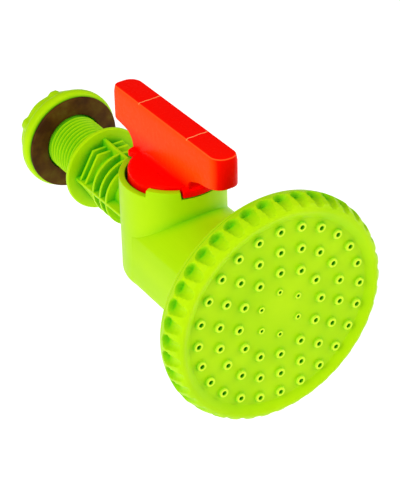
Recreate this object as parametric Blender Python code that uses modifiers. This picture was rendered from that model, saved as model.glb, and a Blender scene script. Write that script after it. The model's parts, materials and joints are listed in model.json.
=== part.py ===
"""Tank tap with a watering rose: threaded inlet, gasket and backnut, plug valve, box outlet and rose.

Frame: +Z is up and along the valve stem, the rose faces -Y and the threaded inlet points to +Y.
The origin is on the pipe's axis, in the flange's back face, which seals against the tank wall.
Lengths are in millimetres in the constants and helpers, and become metres as each mesh is made.
"""

import math

import bmesh
import bpy
from mathutils import Matrix

MM = 0.001
OBJECT_NAME = "tank_tap_with_rose"
GAP = 0.3                       # between neighbouring pieces

# ---- threaded inlet, G1/2 ----
THREAD_MAJOR_R = 10.48
THREAD_ROOT_R = 9.32
THREAD_PITCH = 1.814
THREAD_SEGMENTS = 16            # facets in one turn
THREAD_START_Y = 1.6
THREAD_TURNS = 17
PIPE_END_Y = 34.0
SHOULDER_R = 10.6               # plain collar between the flange and the first thread
SHOULDER_END_Y = 1.0
PIPE_BORE_R = 6.5
RIDGE_BASE_W = 1.15
RIDGE_CREST_W = 0.3

# ---- flange and ribbed neck ----
FLANGE_R = 15.7
FLANGE_T = 1.7
NECK_CORE_R = 8.6
FIN_T = 1.2
FIN_HALF_WIDTH = 12.6           # at the flange
FIN_HALF_WIDTH_END = 11.9       # at the barrel
FIN_END_Y = -34.5
RIB_T = 1.1
HEX_RIB_Y = (-3.9, -7.2)
HEX_RIB_R = 12.4                # over corners
ROUND_RIB_Y = (-12.9, -17.5, -21.6)
ROUND_RIB_R = 12.2

# ---- gasket and backnut ----
GASKET_Y = 20.6                 # its front face
GASKET_T = 1.4
GASKET_R = 17.65
GASKET_BORE_R = 11.0
NUT_Y = GASKET_Y + GASKET_T + GAP
NUT_BACK_Y = 33.4
NUT_FLANGE_R = 18.85
NUT_FLANGE_T = 5.0
NUT_GRIP_R = 15.4               # between the lobes
NUT_LOBE_R = 16.4               # over the lobes
NUT_LOBES = 6
NUT_BORE_R = 10.85
NUT_RIDGE_CREST_R = 9.62
NUT_THREAD_TURNS = 3.5

# ---- valve barrel ----
VALVE_Y = -47.2
BARREL_R = 18.3
BARREL_BORE_R = 16.1
RIM_LOW_Z = 22.0
RIM_HIGH_Z = 24.7
BARREL_BOTTOM_Z = -17.4
BOTTOM_ROUND_R = 3.2
BARREL_FLOOR_Z = -12.4
FLOOR_WEB_T = 1.6
COUNTERBORE_R = 8.0
STEM_HOLE_R = 3.4
STOP_START_DEG = 208.0          # the raised stop on the rim; its twin is half a turn away
STOP_SWEEP_DEG = 39.0
BARREL_SEGMENTS = 48

# ---- outlet duct ----
DUCT_HALF_W = 18.2
DUCT_ROOF_R = 20.6
DUCT_ROOF_CENTRE_Z = -6.0
DUCT_FLOOR_Z = (-18.1, -17.5)   # outside, at the rose and at the barrel
DUCT_WALL = 2.2
DUCT_END_Y = -98.5
CAVITY_END_Y = -103.5

# ---- rose ----
ROSE_Z = 0.6
ROSE_R = 41.0                   # over the widest part of the grip
ROSE_SEGMENTS = 80
DISH_SEGMENTS = 60
DISH_BACK_Y = -97.6
DISH_RING_Y = -100.8            # back edge of the outer ring
DISH_FRONT_Y = -102.6
DISH_BACK_R = 27.0
DISH_RING_R = 40.2
SPIGOT_R = 36.2
SPIGOT_BORE_R = 34.0
SPIGOT_END_Y = -106.0
CAP_BACK_Y = DISH_FRONT_Y - GAP
CAP_BORE_R = 37.4
CAP_BACK_R = 40.5
PLATE_BACK_Y = -107.9
PLATE_FRONT_Y = -109.9
RIM_FRONT_Y = -111.9
NOZZLE_TIP_Y = -111.1
SEAL_R = (32.3, 36.0)
ROSE_PITCH = 2.0
ROSE_THREAD_TURNS = 0.75
ROSE_THREAD_START_Y = -105.2
ROSE_RIDGE_W = (1.0, 0.35)      # at the base and at the crest
FLUTES = 40
FLUTE_DEPTH = 1.1
NOZZLE_RINGS = ((6, 8.23), (12, 15.95), (18, 23.68), (24, 31.4))
NOZZLE_SIDES = 6

# ---- plug and handle ----
PLUG_R = 15.7
PLUG_SHOULDER_Z = 19.5
DISC_R = 15.15
DISC_TOP_Z = 25.1
PLUG_BOTTOM_Z = BARREL_FLOOR_Z + GAP
STEM_R = 3.0
STEM_END_Z = BARREL_FLOOR_Z - FLOOR_WEB_T - 0.2
PORT_R = PIPE_BORE_R
GROOVE_Z = (12.0, -10.0)
GROOVE_R = 13.9
GROOVE_W = 2.3
O_RING_R = 15.0
O_RING_SECTION_R = 0.85
LUG_SWEEP_DEG = 46.0
LUG_CLEARANCE_DEG = 1.0
HANDLE_TOP_Z = 44.0
HANDLE_HALF_W = 4.85
HANDLE_FRONT_Y = -34.5          # from the valve's axis
HANDLE_BACK_Y = 29.8
HANDLE_EDGE = 0.9
HANDLE_UNDERSIDE_Z = 31.0
HANDLE_UNDERSIDE_END_Z = 32.0
NECK_FRONT_Y = -17.2
NECK_BACK_Y = 18.8
NECK_FILLET_R = 4.0
FLARE_R = 5.5

# ---- what holds the plug down, and the inlet's seal ----
SCREW_R = 1.4
SCREW_HOLE_R = 1.7
SCREW_TOP_Z = -7.5
WASHER_R = 6.6
WASHER_T = 0.8
SCREW_HEAD_R = 3.4
SCREW_HEAD_T = 1.5
SEAT_R = (6.6, 8.6)
SEAT_FACE_R = 16.0
SEAT_BACK_R = 17.1

LIME = (0.42, 0.78, 0.02, 1.0)
RED = (0.85, 0.02, 0.01, 1.0)
RUBBER = (0.09, 0.05, 0.02, 1.0)
BLACK = (0.02, 0.02, 0.02, 1.0)
STEEL = (0.60, 0.60, 0.62, 1.0)


# ------------------------------------------------------------------ helpers

def clear_scene():
    for thing in list(bpy.data.objects):
        bpy.data.objects.remove(thing, do_unlink=True)


def new_collection(name):
    made = bpy.data.collections.new(name)
    bpy.context.scene.collection.children.link(made)
    return made


def material(name, colour, roughness, metallic=0.0):
    made = bpy.data.materials.new(name)
    made.use_nodes = True
    shader = made.node_tree.nodes["Principled BSDF"]
    shader.inputs["Base Color"].default_value = colour
    shader.inputs["Roughness"].default_value = roughness
    shader.inputs["Metallic"].default_value = metallic
    return made


def object_from(mesh, name):
    made = bpy.data.objects.new(name, mesh)
    bpy.context.scene.collection.objects.link(made)
    return made


def from_bmesh(bm, name):
    """A closed object from a bmesh drawn in millimetres."""
    bmesh.ops.scale(bm, vec=(MM, MM, MM), verts=bm.verts)
    bmesh.ops.recalc_face_normals(bm, faces=bm.faces)
    mesh = bpy.data.meshes.new(name)
    bm.to_mesh(mesh)
    bm.free()
    return object_from(mesh, name)


def bake(thing):
    """Replaces the object's mesh with its evaluated one and drops its modifiers."""
    bpy.context.view_layer.update()
    graph = bpy.context.evaluated_depsgraph_get()
    mesh = bpy.data.meshes.new_from_object(thing.evaluated_get(graph))
    thing.modifiers.clear()
    thing.data = mesh
    return thing


def weld(thing):
    """Merges the near-coincident points that a Boolean leaves."""
    bm = bmesh.new()
    bm.from_mesh(thing.data)
    bmesh.ops.remove_doubles(bm, verts=bm.verts, dist=0.000001)
    bmesh.ops.dissolve_degenerate(bm, edges=bm.edges, dist=0.000001)
    bm.to_mesh(thing.data)
    bm.free()


def combine(target, tool, operation):
    """Joins, cuts or intersects target with tool, which is used up."""
    boolean = target.modifiers.new(operation.lower(), "BOOLEAN")
    boolean.operation = operation
    boolean.solver = "EXACT"
    boolean.object = tool
    tool.hide_render = True
    tool.display_type = "WIRE"
    bake(target)
    bpy.data.objects.remove(tool, do_unlink=True)
    weld(target)
    return target


def join(target, *tools):
    for tool in tools:
        combine(target, tool, "UNION")
    return target


def cut(target, *tools):
    for tool in tools:
        combine(target, tool, "DIFFERENCE")
    return target


def turned(name, profile, steps, along_y=False, centre=(0.0, 0.0, 0.0)):
    """A turned solid. The profile holds (radius, height), down its outer side; its ends close on the axis
    or, where neither end is on it, on each other. Heights run along Z, or along Y."""
    ring = profile[0][0] > 0
    bm = bmesh.new()
    verts = [bm.verts.new((r * MM, 0.0, h * MM)) for r, h in profile]
    for a, b in zip(verts, verts[1:]):
        bm.edges.new((a, b))
    if ring:
        bm.edges.new((verts[-1], verts[0]))
    mesh = bpy.data.meshes.new(name)
    bm.to_mesh(mesh)
    bm.free()
    made = object_from(mesh, name)
    screw = made.modifiers.new("turn", "SCREW")
    screw.steps = steps
    screw.render_steps = steps
    screw.use_merge_vertices = True
    screw.merge_threshold = 0.000001
    bake(made)
    place = Matrix.Translation([c * MM for c in centre])
    if along_y:
        place = place @ Matrix.Rotation(-math.pi / 2, 4, "X")
    made.data.transform(place)
    return made


def cylinder(
    name, radius, low, high, axis="Z", centre=(0.0, 0.0, 0.0), segments=32, top_radius=None, turn=0.0,
):
    """A cylinder or cone from low to high along an axis through centre."""
    bm = bmesh.new()
    far = radius if top_radius is None else top_radius
    bmesh.ops.create_cone(bm, cap_ends=True, segments=segments, radius1=radius, radius2=far, depth=high - low)
    place = Matrix.Translation((0, 0, (low + high) / 2)) @ Matrix.Rotation(turn, 4, "Z")
    if axis == "Y":
        place = Matrix.Rotation(-math.pi / 2, 4, "X") @ place
    bmesh.ops.transform(bm, matrix=Matrix.Translation(centre) @ place, verts=bm.verts)
    return from_bmesh(bm, name)


def box(name, low, high):
    bm = bmesh.new()
    bmesh.ops.create_cube(bm, size=1.0)
    size = [b - a for a, b in zip(low, high)]
    middle = [(a + b) / 2 for a, b in zip(low, high)]
    bmesh.ops.transform(bm, matrix=Matrix.Translation(middle) @ Matrix.Diagonal((*size, 1.0)), verts=bm.verts)
    return from_bmesh(bm, name)


def loft(name, rings):
    """A closed solid through rings of equal length, with flat ends."""
    bm = bmesh.new()
    rows = [[bm.verts.new(p) for p in ring] for ring in rings]
    for low, high in zip(rows, rows[1:]):
        for i in range(len(low)):
            j = (i + 1) % len(low)
            bm.faces.new((low[i], low[j], high[j], high[i]))
    bm.faces.new(list(reversed(rows[0])))
    bm.faces.new(rows[-1])
    return from_bmesh(bm, name)


def prism(name, outline, low, high, place):
    """A flat outline drawn out from low to high; place turns (u, v, w) into a point."""
    return loft(name, [[place(u, v, w) for u, v in outline] for w in (low, high)])


def along_x(u, v, w):
    return (w, u, v)


def along_y(u, v, w):
    return (u, w, v)


def along_z(u, v, w):
    return (u, v, w)


def arc(centre, radius, start_deg, end_deg, steps):
    """Points along an arc, both ends included."""
    angles = [math.radians(start_deg + (end_deg - start_deg) * i / steps) for i in range(steps + 1)]
    return [(centre[0] + radius * math.cos(a), centre[1] + radius * math.sin(a)) for a in angles]


def sector(name, inner, outer, start_deg, sweep_deg, low, high):
    """A piece of a ring about the valve's axis."""
    steps = max(2, round(sweep_deg / 7.5))
    outline = arc((0, VALVE_Y), outer, start_deg, start_deg + sweep_deg, steps)
    outline += arc((0, VALVE_Y), inner, start_deg + sweep_deg, start_deg, steps)
    return prism(name, outline, low, high, along_z)


def helical_ridge(name, root_r, crest_r, pitch, start, turns, segments, base_w, crest_w, centre_z=0.0):
    """A right-handed thread ridge about the Y axis. Its crest sinks into the wall over the last half turn."""
    embed = 0.5 if crest_r > root_r else -0.5
    steps = round(turns * segments)
    fade = segments // 2
    rings = []
    for i in range(steps + 1):
        angle = 2 * math.pi * i / segments
        y = start + pitch * i / segments
        share = min(1.0, i / fade, (steps - i) / fade)
        crest = root_r - 0.4 * embed + (crest_r - root_r + 0.4 * embed) * share
        section = (
            (root_r - embed, -base_w / 2),
            (crest, -crest_w / 2),
            (crest, crest_w / 2),
            (root_r - embed, base_w / 2),
        )
        rings.append([(r * math.sin(angle), y + dy, centre_z + r * math.cos(angle)) for r, dy in section])
    return loft(name, rings)


def finish(thing, name, collection, finish_material, sharp_deg=35.0):
    """Names the piece, gives it its material and shades it."""
    bm = bmesh.new()
    bm.from_mesh(thing.data)
    bmesh.ops.remove_doubles(bm, verts=bm.verts, dist=0.000002)
    bmesh.ops.dissolve_degenerate(bm, edges=bm.edges, dist=0.000002)
    bmesh.ops.triangulate(bm, faces=bm.faces)
    bm.to_mesh(thing.data)
    bm.free()
    thing.name = name
    thing.data.name = name
    thing.data.materials.clear()
    thing.data.materials.append(finish_material)
    thing.data.shade_smooth()
    thing.data.set_sharp_from_angle(angle=math.radians(sharp_deg))
    bpy.context.scene.collection.objects.unlink(thing)
    collection.objects.link(thing)
    return thing


def set_origin(thing, point):
    """Moves the object's origin to a point in millimetres without moving its shape."""
    shift = Matrix.Translation([-c * MM for c in point])
    thing.data.transform(shift)
    thing.location = [c * MM for c in point]


# ------------------------------------------------------------------ body

def duct_outline(inset, floor_z):
    """The outlet's section: round roof, straight sides and a floor with rounded corners."""
    half = DUCT_HALF_W - inset
    roof_r = DUCT_ROOF_R - inset
    bottom = floor_z + inset
    corner = BOTTOM_ROUND_R - 0.6 * inset
    reach = math.degrees(math.asin(half / roof_r))
    roof = arc((0, DUCT_ROOF_CENTRE_Z), roof_r, 90 - reach, 90 + reach, 14)
    left = arc((-half + corner, bottom + corner), corner, 180, 270, 3)
    right = arc((half - corner, bottom + corner), corner, 270, 360, 3)
    return roof + left + right


def duct_block(name, inset, front, back):
    """The outlet's outside, or its hollow when inset; the floor falls a little towards the rose."""
    rings = []
    for y in (front, back):
        share = (y - DUCT_END_Y) / (VALVE_Y - DUCT_END_Y)
        floor_z = DUCT_FLOOR_Z[0] + (DUCT_FLOOR_Z[1] - DUCT_FLOOR_Z[0]) * share
        rings.append([(x, y, z) for x, z in duct_outline(inset, floor_z)])
    return loft(name, rings)


def barrel_blank():
    """The barrel as a solid, with its bottom edge rounded."""
    r, low, corner = BARREL_R, BARREL_BOTTOM_Z, BOTTOM_ROUND_R
    bottom_edge = arc((r - corner, low + corner), corner, 0, -90, 4)
    profile = [(0, RIM_HIGH_Z), (r, RIM_HIGH_Z), *bottom_edge, (0, low)]
    return turned("barrel", profile, BARREL_SEGMENTS, centre=(0, VALVE_Y, 0))


def rose_ridge(root_r, crest_r, start):
    """One of the two meshing thread ridges that hold the rose's cap."""
    return helical_ridge(
        "ridge", root_r, crest_r, ROSE_PITCH, start, ROSE_THREAD_TURNS, 40, *ROSE_RIDGE_W, ROSE_Z,
    )


def dish_blank():
    """The rose's back: a shallow dish with an outer ring and a spigot for the cap."""
    profile = [
        (0, DISH_BACK_Y), (DISH_BACK_R, DISH_BACK_Y), (DISH_RING_R - 1.2, DISH_RING_Y),
        (DISH_RING_R - 0.3, DISH_RING_Y - 0.7), (DISH_RING_R, DISH_FRONT_Y), (SPIGOT_R, DISH_FRONT_Y),
        (SPIGOT_R, SPIGOT_END_Y), (SPIGOT_BORE_R, SPIGOT_END_Y),
        (SPIGOT_BORE_R, DISH_FRONT_Y), (DISH_BACK_R - 1, DISH_BACK_Y - 2.2), (0, DISH_BACK_Y - 2.2),
    ]
    dish = turned("dish", profile, DISH_SEGMENTS, along_y=True, centre=(0, 0, ROSE_Z))
    return join(dish, rose_ridge(SPIGOT_R, SPIGOT_R + 0.75, ROSE_THREAD_START_Y))


def neck_parts():
    """Ribs and fins between the flange and the barrel."""
    core = cylinder("core", NECK_CORE_R, FIN_END_Y - 1, -0.5, axis="Y", segments=28)
    w, w_end = FIN_HALF_WIDTH, FIN_HALF_WIDTH_END
    fin = [(-w, -0.8), (w, -0.8), (w_end, FIN_END_Y), (-w_end, FIN_END_Y)]
    level = prism("level_fin", fin, -FIN_T / 2, FIN_T / 2, along_z)
    outline = [(u, v - 0.2) for u, v in fin]
    upright = prism("upright_fin", outline, -FIN_T / 2, FIN_T / 2, lambda u, v, w: (w, v, u))
    ribs = []
    for y in HEX_RIB_Y:
        low, high = y - RIB_T / 2, y + RIB_T / 2
        ribs.append(cylinder("rib", HEX_RIB_R, low, high, axis="Y", segments=6, turn=math.pi / 2))
    for y in ROUND_RIB_Y:
        ribs.append(cylinder("rib", ROUND_RIB_R, y - RIB_T / 2, y + RIB_T / 2, axis="Y", segments=36))
    return [core, level, upright, *ribs]


def tap_body(collection, finish_material):
    flange = [
        (0, 0.6), (THREAD_ROOT_R - 0.4, 0.6), (THREAD_ROOT_R - 0.4, 0), (FLANGE_R - 0.4, 0), (FLANGE_R, -0.4),
        (FLANGE_R, -FLANGE_T + 0.4), (FLANGE_R - 0.4, -FLANGE_T), (0, -FLANGE_T),
    ]
    body = turned("body", flange, 48, along_y=True)
    pipe = cylinder("pipe", THREAD_ROOT_R, -0.4, PIPE_END_Y, axis="Y", segments=THREAD_SEGMENTS)
    shoulder = cylinder("shoulder", SHOULDER_R, -0.6, SHOULDER_END_Y, axis="Y", segments=THREAD_SEGMENTS)
    duct = duct_block("duct", 0.0, DUCT_END_Y, VALVE_Y)
    join(body, pipe, shoulder, *neck_parts(), barrel_blank(), duct, dish_blank())

    cavity = duct_block("cavity", DUCT_WALL, CAVITY_END_Y, VALVE_Y)
    cut(cavity, cylinder("keep", BARREL_R - 0.05, -40, 40, centre=(0, VALVE_Y, 0), segments=BARREL_SEGMENTS))
    centre = (0, VALVE_Y, 0)
    bore = cylinder("bore", BARREL_BORE_R, BARREL_FLOOR_Z, 40, centre=centre, segments=BARREL_SEGMENTS)
    inlet = cylinder("inlet", PIPE_BORE_R, VALVE_Y, PIPE_END_Y + 2, axis="Y", segments=24)
    outlet = cylinder("outlet", PORT_R, VALVE_Y - BARREL_R - 3, VALVE_Y, axis="Y", segments=24)
    stem_hole = cylinder("stem_hole", STEM_HOLE_R, -20, 0, centre=(0, VALVE_Y, 0), segments=16)
    recess_top = BARREL_FLOOR_Z - FLOOR_WEB_T
    recess = cylinder("recess", COUNTERBORE_R, -30, recess_top, centre=(0, VALVE_Y, 0), segments=24)
    seat = cylinder("seat", SEAT_BACK_R + 0.25, -20, 20, centre=(0, VALVE_Y, 0), segments=BARREL_SEGMENTS)
    reach = cylinder("reach", SEAT_R[1] + GAP, VALVE_Y, VALVE_Y + BARREL_R, axis="Y", segments=24)
    combine(seat, reach, "INTERSECT")
    cut(body, cavity, bore, inlet, outlet, stem_hole, recess, seat)

    low_sweep = 180.0 - STOP_SWEEP_DEG
    for start in (STOP_START_DEG + STOP_SWEEP_DEG, STOP_START_DEG + STOP_SWEEP_DEG - 180.0):
        inner, outer = BARREL_BORE_R - 3, BARREL_R + 3
        cut(body, sector("low_rim", inner, outer, start, low_sweep, RIM_LOW_Z, RIM_HIGH_Z + 3))
    thread = helical_ridge(
        "thread", THREAD_ROOT_R, THREAD_MAJOR_R, THREAD_PITCH, THREAD_START_Y, THREAD_TURNS,
        THREAD_SEGMENTS, RIDGE_BASE_W, RIDGE_CREST_W,
    )
    join(body, thread)
    return finish(body, "tap_body", collection, finish_material)


# ------------------------------------------------------------------ inlet fittings

def gasket(collection, finish_material):
    y, edge = GASKET_Y, 0.25
    profile = [
        (GASKET_BORE_R, y + GASKET_T), (GASKET_R - edge, y + GASKET_T), (GASKET_R, y + GASKET_T - edge),
        (GASKET_R, y + edge), (GASKET_R - edge, y), (GASKET_BORE_R, y),
    ]
    return finish(turned("gasket", profile, 48, along_y=True), "tank_gasket", collection, finish_material)


def lobed_outline(steps_per_lobe):
    """The backnut's grip: round lobes with shallow hollows between them."""
    count = NUT_LOBES * steps_per_lobe
    points = []
    for i in range(count):
        angle = 2 * math.pi * i / count
        share = (0.5 + 0.5 * math.cos(NUT_LOBES * angle)) ** 2
        radius = NUT_GRIP_R + (NUT_LOBE_R - NUT_GRIP_R) * share
        points.append((radius * math.cos(angle), radius * math.sin(angle)))
    return points


def backnut(collection, finish_material):
    y, r, t = NUT_Y, NUT_FLANGE_R, NUT_FLANGE_T
    round_r = 2.0
    rim = arc((r - round_r, y + t - round_r), round_r, 90, 0, 3)
    rim += arc((r - round_r, y + round_r - 0.6), round_r - 0.6, 0, -90, 3)
    nut = turned("nut", [(0, y + t), *rim, (0, y - 0.0)], 48, along_y=True)
    grip = lobed_outline(8)
    heights = ((y + 2, 1.0), (NUT_BACK_Y - 1.2, 1.0), (NUT_BACK_Y, 0.93))
    rings = [[(k * u, h, k * v) for u, v in grip] for h, k in heights]
    join(nut, loft("grip", rings))
    cut(nut, cylinder("bore", NUT_BORE_R, y - 3, NUT_BACK_Y + 3, axis="Y", segments=THREAD_SEGMENTS))
    mesh_y = THREAD_START_Y + THREAD_PITCH * (math.ceil((y + 1.0 - THREAD_START_Y) / THREAD_PITCH) + 0.5)
    join(nut, helical_ridge(
        "thread", NUT_BORE_R, NUT_RIDGE_CREST_R, THREAD_PITCH, mesh_y, NUT_THREAD_TURNS,
        THREAD_SEGMENTS, RIDGE_BASE_W, 0.25,
    ))
    return finish(nut, "backnut", collection, finish_material)


# ------------------------------------------------------------------ rose

def flute_depth(angle, share):
    """How far the grip is hollowed at an angle; share is how far back the point is, from 0 to 1."""
    across = 0.5 - 0.5 * math.cos(FLUTES * angle)
    return FLUTE_DEPTH * across * share


def nozzle_places():
    """(angle, ring radius, ring number) of every nozzle, with one straight up in each ring."""
    for number, (count, radius) in enumerate(NOZZLE_RINGS):
        for i in range(count):
            yield 2 * math.pi * i / count, radius, number


def nozzle_set(name, radii, tip_radii, low, high):
    """One closed cone for each nozzle, all in one object."""
    bm = bmesh.new()
    for angle, ring_r, number in nozzle_places():
        base, tip = (radii[1], tip_radii[1]) if number else (radii[0], tip_radii[0])
        middle = (ring_r * math.sin(angle), (low + high) / 2, ROSE_Z + ring_r * math.cos(angle))
        place = Matrix.Translation(middle) @ Matrix.Rotation(-math.pi / 2, 4, "X") @ Matrix.Rotation(angle, 4, "Z")
        bmesh.ops.create_cone(
            bm, cap_ends=True, segments=NOZZLE_SIDES, radius1=tip, radius2=base, depth=high - low, matrix=place,
        )
    return from_bmesh(bm, name)


def rose_cap(collection, finish_material):
    outer = [
        (0.0, 33.6, PLATE_FRONT_Y), (0.0, 34.6, -110.8), (0.0, 35.7, RIM_FRONT_Y), (0.0, 36.9, RIM_FRONT_Y),
        (0.2, 38.5, -111.0), (0.4, 39.6, -109.9), (0.7, 40.5, -108.0), (1.0, ROSE_R, -105.2),
        (0.0, ROSE_R - 0.05, -104.2), (0.0, CAP_BACK_R, CAP_BACK_Y),
    ]
    profile = [(0, PLATE_BACK_Y), (CAP_BORE_R, PLATE_BACK_Y), (CAP_BORE_R, CAP_BACK_Y)]
    profile += [(r, y) for _, r, y in reversed(outer)] + [(0, PLATE_FRONT_Y)]
    cap = turned("cap", profile, ROSE_SEGMENTS, along_y=True, centre=(0, 0, ROSE_Z))
    shares = {(round(r, 3), round(y, 3)): share for share, r, y in outer}
    for v in cap.data.vertices:
        x, y, z = v.co.x / MM, v.co.y / MM, v.co.z / MM - ROSE_Z
        share = shares.get((round(math.hypot(x, z), 3), round(y, 3)), 0.0)
        if share:
            radius = math.hypot(x, z)
            k = 1.0 - flute_depth(math.atan2(x, z), share) / radius
            v.co.x, v.co.z = x * k * MM, (z * k + ROSE_Z) * MM
    join(cap, nozzle_set("nozzles", (1.45, 1.9), (0.85, 1.2), NOZZLE_TIP_Y, PLATE_FRONT_Y + 0.6))
    cut(cap, nozzle_set("jets", (0.5, 0.62), (0.5, 0.62), NOZZLE_TIP_Y - 1, PLATE_BACK_Y + 1))
    join(cap, rose_ridge(CAP_BORE_R, CAP_BORE_R - 0.75, ROSE_THREAD_START_Y - ROSE_PITCH / 2))
    return finish(cap, "rose_cap", collection, finish_material)


def rose_seal(collection, finish_material):
    inner, outer = SEAL_R
    front, back = PLATE_BACK_Y + GAP, SPIGOT_END_Y - GAP
    profile = [(inner, back), (outer, back), (outer, front), (inner, front)]
    ring = turned("seal", profile, 48, along_y=True, centre=(0, 0, ROSE_Z))
    return finish(ring, "rose_seal", collection, finish_material)


# ------------------------------------------------------------------ valve

def stadium(half_w, front, back, z, steps=6):
    """A bar's outline with half-round ends, in plan."""
    points = arc((0, back - half_w), half_w, 0, 180, steps) + arc((0, front + half_w), half_w, 180, 360, steps)
    return [(x, VALVE_Y + y, z) for x, y in points]


def handle_bar():
    """The bar and its neck: the side view cut out of a bar with round ends and a bevelled top."""
    w, e = HANDLE_HALF_W, HANDLE_EDGE
    rings = [
        stadium(w, HANDLE_FRONT_Y, HANDLE_BACK_Y, DISC_TOP_Z - 1),
        stadium(w, HANDLE_FRONT_Y, HANDLE_BACK_Y, HANDLE_TOP_Z - e),
        stadium(w - e, HANDLE_FRONT_Y + e, HANDLE_BACK_Y - e, HANDLE_TOP_Z),
    ]
    bar = loft("bar", rings)
    f = NECK_FILLET_R
    side = [(HANDLE_FRONT_Y - 5, HANDLE_TOP_Z + 5), (HANDLE_FRONT_Y - 5, HANDLE_UNDERSIDE_END_Z)]
    side += arc((NECK_FRONT_Y - f, HANDLE_UNDERSIDE_Z - f), f, 90, 0, 4)
    side += [(NECK_FRONT_Y, DISC_TOP_Z - 0.5), (NECK_BACK_Y - 5, DISC_TOP_Z - 0.5)]
    side += [(NECK_BACK_Y - 5, DISC_TOP_Z - 0.4), (NECK_BACK_Y, DISC_TOP_Z - 0.4)]
    side += arc((NECK_BACK_Y + f, HANDLE_UNDERSIDE_Z - f), f, 180, 90, 4)
    side += [(HANDLE_BACK_Y + 5, HANDLE_UNDERSIDE_END_Z), (HANDLE_BACK_Y + 5, HANDLE_TOP_Z + 5)]
    view = prism("view", [(VALVE_Y + y, z) for y, z in side], -20, 20, along_x)
    return combine(bar, view, "INTERSECT")


def handle_flare():
    """The hollow curve between the bar's sides and the disc below it."""
    w, f = HANDLE_HALF_W, FLARE_R
    right = arc((w + f, DISC_TOP_Z + f), f, 180, 270, 4)
    left = [(-x, z) for x, z in reversed(right)]
    outline = [*right, (w + f, DISC_TOP_Z - 1), (-w - f, DISC_TOP_Z - 1), *left]
    flare = prism("flare", outline, VALVE_Y + NECK_FRONT_Y + 0.2, VALVE_Y + NECK_BACK_Y - 0.2, along_y)
    reach = cylinder("reach", DISC_R - 0.5, 0, 60, centre=(0, VALVE_Y, 0), segments=BARREL_SEGMENTS)
    return combine(flare, reach, "INTERSECT")


def plug_handle(collection, finish_material):
    half = GROOVE_W / 2
    profile = [(0, DISC_TOP_Z), (DISC_R - 0.8, DISC_TOP_Z), (DISC_R - 0.2, DISC_TOP_Z - 0.3), (DISC_R, DISC_TOP_Z - 0.9)]
    profile += [(DISC_R, PLUG_SHOULDER_Z), (PLUG_R, PLUG_SHOULDER_Z - 1)]
    for z in GROOVE_Z:
        profile += [(PLUG_R, z + half), (GROOVE_R, z + half), (GROOVE_R, z - half), (PLUG_R, z - half)]
    profile += [(PLUG_R, PLUG_BOTTOM_Z), (STEM_R, PLUG_BOTTOM_Z), (STEM_R, STEM_END_Z), (0, STEM_END_Z)]
    plug = turned("plug", profile, BARREL_SEGMENTS, centre=(0, VALVE_Y, 0))
    lug_low = RIM_LOW_Z + GAP
    for turn in (0.0, 180.0):
        start = STOP_START_DEG + STOP_SWEEP_DEG + LUG_CLEARANCE_DEG - turn
        join(plug, sector("lug", DISC_R - 2, BARREL_R, start, LUG_SWEEP_DEG, lug_low, DISC_TOP_Z - 0.1))
    join(plug, handle_flare(), handle_bar())
    port = cylinder("port", PORT_R, VALVE_Y - 30, VALVE_Y + 30, axis="Y", segments=24)
    screw_hole = cylinder("hole", SCREW_HOLE_R, -30, SCREW_TOP_Z + 0.5, centre=(0, VALVE_Y, 0), segments=12)
    cut(plug, port, screw_hole)
    made = finish(plug, "plug_handle", collection, finish_material)
    set_origin(made, (0, VALVE_Y, 0))
    return made


def o_ring(name, z, collection, finish_material):
    profile = arc((O_RING_R, z), O_RING_SECTION_R, 90, -210, 5)
    return finish(turned(name, profile, 36, centre=(0, VALVE_Y, 0)), name, collection, finish_material)


def plug_washer(collection, finish_material):
    top = STEM_END_Z - GAP
    profile = [(SCREW_HOLE_R + 0.2, top), (WASHER_R, top), (WASHER_R, top - WASHER_T), (SCREW_HOLE_R + 0.2, top - WASHER_T)]
    return finish(turned("washer", profile, 24, centre=(0, VALVE_Y, 0)), "plug_washer", collection, finish_material)


def plug_screw(collection, finish_material):
    top = STEM_END_Z - GAP - WASHER_T - GAP
    low = top - SCREW_HEAD_T
    profile = [
        (0, SCREW_TOP_Z), (SCREW_R - 0.5, SCREW_TOP_Z), (SCREW_R, SCREW_TOP_Z - 0.8), (SCREW_R, top),
        (SCREW_HEAD_R, top), (SCREW_HEAD_R, low + 0.6), (SCREW_HEAD_R - 0.7, low), (0, low),
    ]
    screw = turned("screw", profile, 16, centre=(0, VALVE_Y, 0))
    for long_way in (0, 1):
        reach = (1.8, 0.35) if long_way else (0.35, 1.8)
        low_corner = (-reach[0], VALVE_Y - reach[1], low - 1)
        cut(screw, box("slot", low_corner, (reach[0], VALVE_Y + reach[1], low + 0.8)))
    return finish(screw, "plug_screw", collection, finish_material)


def inlet_seat_seal(collection, finish_material):
    """A saddle-shaped rubber ring between the barrel's wall and the plug, around the inlet."""
    tube = cylinder("tube", SEAT_R[1], VALVE_Y + 8, VALVE_Y + 25, axis="Y", segments=24)
    cut(tube, cylinder("bore", SEAT_R[0], VALVE_Y, VALVE_Y + 30, axis="Y", segments=24))
    back = cylinder("back", SEAT_BACK_R, -20, 20, centre=(0, VALVE_Y, 0), segments=BARREL_SEGMENTS)
    face = cylinder("face", SEAT_FACE_R, -20, 20, centre=(0, VALVE_Y, 0), segments=BARREL_SEGMENTS)
    combine(tube, back, "INTERSECT")
    cut(tube, face)
    return finish(tube, "inlet_seat_seal", collection, finish_material)


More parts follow.
